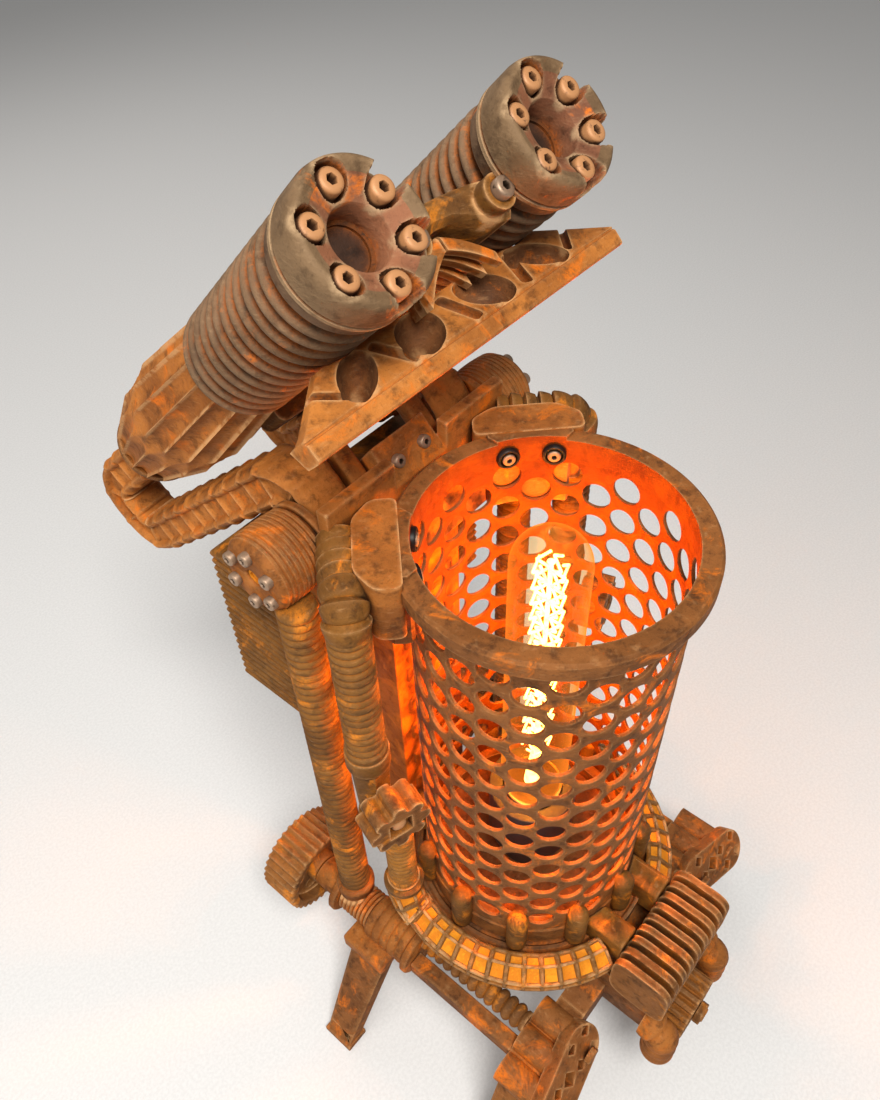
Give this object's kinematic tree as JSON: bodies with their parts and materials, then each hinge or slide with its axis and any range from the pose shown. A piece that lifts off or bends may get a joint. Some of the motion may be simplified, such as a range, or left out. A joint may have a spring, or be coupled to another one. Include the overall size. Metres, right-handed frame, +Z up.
{
  "type": "table_lamp",
  "caption": "Rusty steampunk table lamp: an upright perforated tube shade round a tubular bulb, on a splayed-leg base, with twin finned cylinders, ducts and ribbed hoses above and behind.",
  "frame": {"origin": "on the ground, at the centre of the whole object's footprint box", "axes": "+Z up, -Y the front of the lamp (the perforated shade's side), +X the lamp's right as seen from the front, ducts and radiators at +Y"},
  "size_m": [0.225, 0.3173, 0.4571],
  "materials": {
    "rusted_iron": "rough cast iron with brown and orange rust",
    "dark_rust": "dark rusty iron with pale worn edges",
    "brown_rust": "moulded shell painted as brown rust with pale dry-brushed edges",
    "ochre_rust": "moulded shell painted ochre yellow with rust",
    "shade_rust": "shade painted as orange rust, saturated inside",
    "copper_screw": "copper-coloured screw heads with dark sockets",
    "clear_glass": "clear glass, amber when lit",
    "filament_wire": "glowing filament wires on a glass stem",
    "brass_cap": "rolled brass screw cap",
    "black_plastic": "black lampholder plastic"
  },
  "bodies": {
    "lamp_body": {"base_frame": "rusted_iron", "bulb_cap": "brass_cap", "bulb_filament": "filament_wire", "bulb_glass": "clear_glass", "cable_gland": "black_plastic", "cap_screws": "copper_screw", "coil_rods": "dark_rust", "cylinder_bridge": "brown_rust", "cylinder_cap_left": "brown_rust", "cylinder_cap_right": "brown_rust", "cylinder_left": "brown_rust", "cylinder_right": "brown_rust", "drum_left": "brown_rust", "drum_right": "brown_rust", "fin_connectors": "ochre_rust", "front_block_left": "rusted_iron", "front_block_right": "rusted_iron", "front_elbows": "brown_rust", "front_fin_block": "dark_rust", "front_hose_left": "brown_rust", "front_hose_right": "brown_rust", "front_legs": "rusted_iron", "gear_axle": "dark_rust", "hex_nuts": "dark_rust", "hose_elbows": "brown_rust", "lampholder": "black_plastic", "lower_hoses": "brown_rust", "neck_block": "brown_rust", "radiator_left": "brown_rust", "radiator_right": "brown_rust", "rear_hose_left": "brown_rust", "rear_hose_right": "brown_rust", "rear_legs": "rusted_iron", "rear_sleeve_left": "rusted_iron", "rear_sleeve_right": "rusted_iron", "ring_duct_left": "ochre_rust", "ring_duct_right": "ochre_rust", "s_duct_left": "brown_rust", "s_duct_right": "brown_rust", "shade_cup": "shade_rust", "shade_rim": "shade_rust", "shade_tube": "shade_rust", "side_beams": "rusted_iron", "spine_column": "brown_rust", "star_plates": "rusted_iron", "struts": "brown_rust", "tail_cones": "brown_rust", "valve_body_left": "brown_rust", "valve_body_right": "brown_rust", "visor": "brown_rust"},
    "valve_knob_left": {"valve_knob_left": "dark_rust"},
    "valve_knob_right": {"valve_knob_right": "dark_rust"},
    "rear_wheel_left": {"rear_wheel_left": "dark_rust"},
    "rear_wheel_right": {"rear_wheel_right": "dark_rust"},
    "front_gear": {"front_gear": "dark_rust"}
  },
  "joints": [
    {"name": "left_knob_turn", "type": "hinge", "parent": "lamp_body", "child": "valve_knob_left", "pos_m": [-0.06881, -0.02548, 0.219], "axis": [-0.2924, -0.9563, 0], "range_deg": [0, 270]},
    {"name": "right_knob_turn", "type": "hinge", "parent": "lamp_body", "child": "valve_knob_right", "pos_m": [0.06881, -0.02548, 0.219], "axis": [0.2924, -0.9563, 0], "range_deg": [0, 270]},
    {"name": "left_wheel_turn", "type": "hinge", "parent": "lamp_body", "child": "rear_wheel_left", "pos_m": [-0.066, 0.0447, 0.075], "axis": [0, 1, 0], "continuous": true},
    {"name": "right_wheel_turn", "type": "hinge", "parent": "lamp_body", "child": "rear_wheel_right", "pos_m": [0.066, 0.0447, 0.075], "axis": [0, 1, 0], "continuous": true},
    {"name": "front_gear_turn", "type": "hinge", "parent": "lamp_body", "child": "front_gear", "pos_m": [0, -0.1481, 0.066], "axis": [0, 1, 0], "continuous": true}
  ]
}
